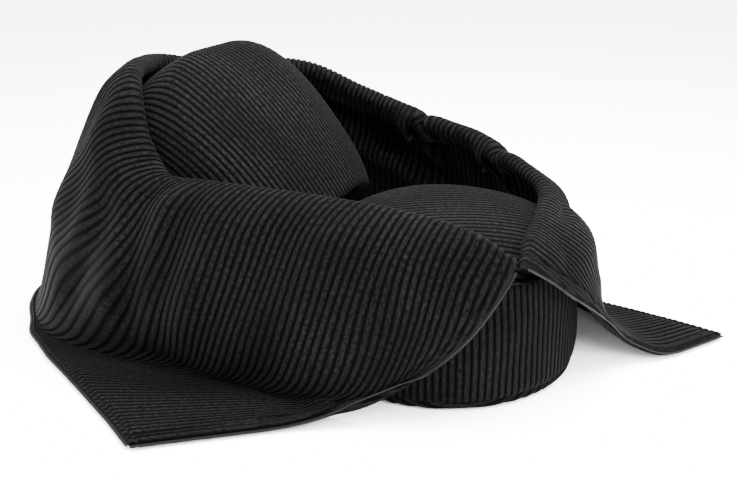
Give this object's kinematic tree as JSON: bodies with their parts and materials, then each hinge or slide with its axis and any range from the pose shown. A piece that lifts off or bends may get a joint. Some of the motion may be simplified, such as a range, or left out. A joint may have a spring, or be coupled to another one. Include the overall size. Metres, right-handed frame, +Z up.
{
  "type": "bean bag chair",
  "caption": "Lounge bean bag: round seat pouf and leaning back pouf inside a folded, padded wide-cord wrap that zips along its front edges and hem.",
  "frame": {"origin": "on the floor, under the middle of the whole object's box", "axes": "+Z up; the seat looks towards -Y, the left wing is on -X"},
  "size_m": [1.2212, 1.4302, 0.6505],
  "materials": {
    "corduroy": "black wide-wale cotton corduroy with a soft nap",
    "wadding": "off-white polyester wadding",
    "inner_bag": "plain woven liner",
    "bead_filling": "expanded polystyrene beads",
    "zip_tape": "black woven tape",
    "zip_teeth": "dark moulded teeth with a dull shine",
    "zip_metal": "black enamelled zinc"
  },
  "bodies": {
    "wrap_and_poufs": {"left_cover": "corduroy", "back_cover": "corduroy", "right_cover": "corduroy", "left_lining": "corduroy", "back_lining": "corduroy", "right_lining": "corduroy", "seat_pouf_side_band": "corduroy", "seat_pouf_top_panel": "corduroy", "back_pouf_side_band": "corduroy", "back_pouf_top_panel": "corduroy", "seat_pouf_base_panel": "corduroy", "back_pouf_base_panel": "corduroy", "left_wadding": "wadding", "back_wadding": "wadding", "right_wadding": "wadding", "seat_pouf_inner_bag": "inner_bag", "back_pouf_inner_bag": "inner_bag", "seat_pouf_bead_filling": "bead_filling", "back_pouf_bead_filling": "bead_filling", "left_front_zip_tape": "zip_tape", "right_front_zip_tape": "zip_tape", "back_zip_tape": "zip_tape", "seat_pouf_zip_tape": "zip_tape", "back_pouf_zip_tape": "zip_tape", "left_front_zip_teeth": "zip_teeth", "right_front_zip_teeth": "zip_teeth", "back_zip_teeth": "zip_teeth", "seat_pouf_zip_teeth": "zip_teeth", "back_pouf_zip_teeth": "zip_teeth"},
    "left_flap": {"left_flap_cover": "corduroy", "left_flap_wadding": "wadding", "left_flap_lining": "corduroy", "left_flap_zip_tape": "zip_tape", "left_flap_zip_teeth": "zip_teeth"},
    "right_flap": {"right_flap_cover": "corduroy", "right_flap_wadding": "wadding", "right_flap_lining": "corduroy", "right_flap_zip_tape": "zip_tape", "right_flap_zip_teeth": "zip_teeth"},
    "wrap_zip_slider": {"wrap_zip_slider": "zip_metal"},
    "wrap_zip_pull": {"wrap_zip_pull": "zip_metal"},
    "seat_zip_slider": {"seat_pouf_zip_slider": "zip_metal"},
    "seat_zip_pull": {"seat_pouf_zip_pull": "zip_metal"},
    "back_zip_slider": {"back_pouf_zip_slider": "zip_metal"},
    "back_zip_pull": {"back_pouf_zip_pull": "zip_metal"}
  },
  "joints": [
    {"name": "left_flap_fold", "type": "hinge", "parent": "wrap_and_poufs", "child": "left_flap", "pos_m": [-0.3368, -0.3364, 0.019], "axis": [-0.2342, 0.9722, 0], "range_deg": [0, 60]},
    {"name": "right_flap_fold", "type": "hinge", "parent": "wrap_and_poufs", "child": "right_flap", "pos_m": [0.4132, -0.6714, 0.019], "axis": [-0.4285, -0.9035, 0], "range_deg": [0, 60]},
    {"name": "wrap_zip_slide", "type": "slide", "parent": "wrap_and_poufs", "child": "wrap_zip_slider", "axis": [1, 0, 0], "range_m": [-0.09, 0.32]},
    {"name": "wrap_zip_pull_swing", "type": "hinge", "parent": "wrap_zip_slider", "child": "wrap_zip_pull", "pos_m": [-0.1068, 0.7107, 0.0159], "axis": [0, -1, 0], "range_deg": [0, 150]},
    {"name": "seat_zip_slide", "type": "hinge", "parent": "wrap_and_poufs", "child": "seat_zip_slider", "pos_m": [0.1132, -0.3044, 0.0505], "axis": [0, 0, 1], "range_deg": [-4, 75]},
    {"name": "seat_zip_pull_swing", "type": "hinge", "parent": "seat_zip_slider", "child": "seat_zip_pull", "pos_m": [0.37563, -0.17396, 0.0505], "axis": [0, 0, -1], "range_deg": [0, 10]},
    {"name": "back_zip_slide", "type": "hinge", "parent": "wrap_and_poufs", "child": "back_zip_slider", "pos_m": [-0.12365, 0.26267, 0.39207], "axis": [0.1593, -0.7493, 0.6428], "range_deg": [-3, 18]},
    {"name": "back_zip_pull_swing", "type": "hinge", "parent": "back_zip_slider", "child": "back_zip_pull", "pos_m": [-0.03401, 0.3849, 0.51234], "axis": [-0.1593, 0.7493, -0.6428], "range_deg": [0, 10]}
  ]
}
